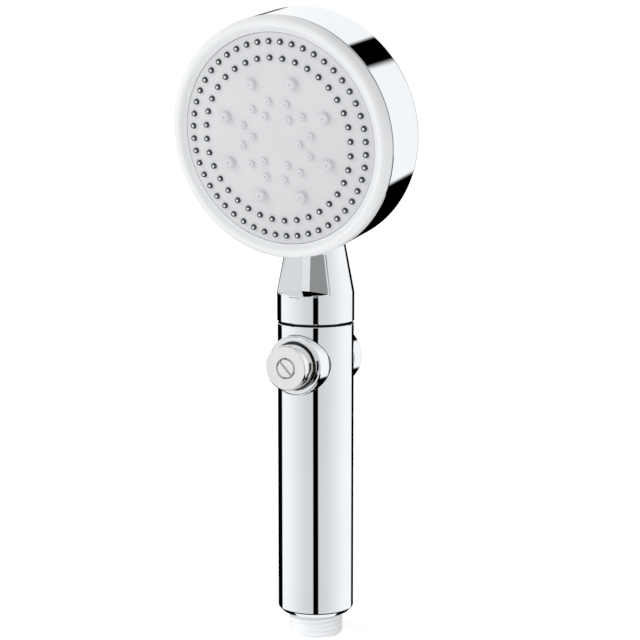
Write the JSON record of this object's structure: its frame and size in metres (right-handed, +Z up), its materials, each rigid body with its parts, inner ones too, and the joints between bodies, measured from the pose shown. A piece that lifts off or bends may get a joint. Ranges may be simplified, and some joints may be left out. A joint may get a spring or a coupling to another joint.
{
  "type": "handheld shower head",
  "caption": "Handheld shower head with a round tilted spray head, turning nozzle dial, straight tube handle, push-through stop valve and threaded hose end.",
  "frame": {"origin": "centre of the hose thread's end face", "axes": "+Z up the handle's axis, -Y towards the spray side, +X to the right seen from the spray side"},
  "size_m": [0.0904, 0.0544, 0.2432],
  "materials": {
    "chrome": "polished chrome plating",
    "white_plastic": "semi-gloss moulded white",
    "button_chrome": "satin chrome plating",
    "inner_plastic": "as-moulded",
    "detent_plastic": "as-moulded",
    "grey_rubber": "soft silicone",
    "seal_rubber": "matte",
    "steel": "bright",
    "brass": "turned"
  },
  "bodies": {
    "casing": {"head_shell": "chrome", "water_chamber": "inner_plastic", "port_plate": "inner_plastic", "chamber_oring": "seal_rubber", "chamber_screw_1": "steel", "chamber_screw_2": "steel", "chamber_screw_3": "steel", "port_seal": "seal_rubber", "port_seal_spring": "steel", "detent_spring": "steel", "pivot_screw": "steel", "pivot_washer": "steel", "riser_tube": "inner_plastic", "riser_oring_lower": "seal_rubber", "riser_oring_upper": "seal_rubber", "neck_oring": "seal_rubber", "handle_shell": "chrome", "hose_connector": "white_plastic", "inlet_strainer": "inner_plastic", "flow_regulator": "grey_rubber", "connector_oring": "seal_rubber", "valve_body": "inner_plastic", "front_collar": "chrome", "rear_collar": "chrome"},
    "dial": {"dial_ring": "white_plastic", "spray_face": "white_plastic", "nozzle_mat": "grey_rubber", "distribution_plate": "inner_plastic", "dial_oring": "seal_rubber"},
    "stop_shuttle": {"front_button": "button_chrome", "rear_button": "button_chrome", "shuttle_spool": "brass", "shuttle_screw": "steel", "spool_oring_1": "seal_rubber", "spool_oring_2": "seal_rubber", "spool_oring_3": "seal_rubber"},
    "detent": {"detent_pin": "detent_plastic"}
  },
  "joints": [
    {"name": "mode_dial", "type": "hinge", "parent": "casing", "child": "dial", "pos_m": [0, -0.02843, 0.19448], "axis": [0, -0.9848, -0.1736], "range_deg": [0, 120]},
    {"name": "stop_slide", "type": "slide", "parent": "casing", "child": "stop_shuttle", "axis": [0, 1, 0], "range_m": [0, 0.0055]},
    {"name": "detent_slide", "type": "slide", "parent": "casing", "child": "detent", "axis": [0, 0.9848, 0.1736], "range_m": [0, 0.0006], "stiffness_N_per_m": 800, "springref_m": -0.001}
  ]
}
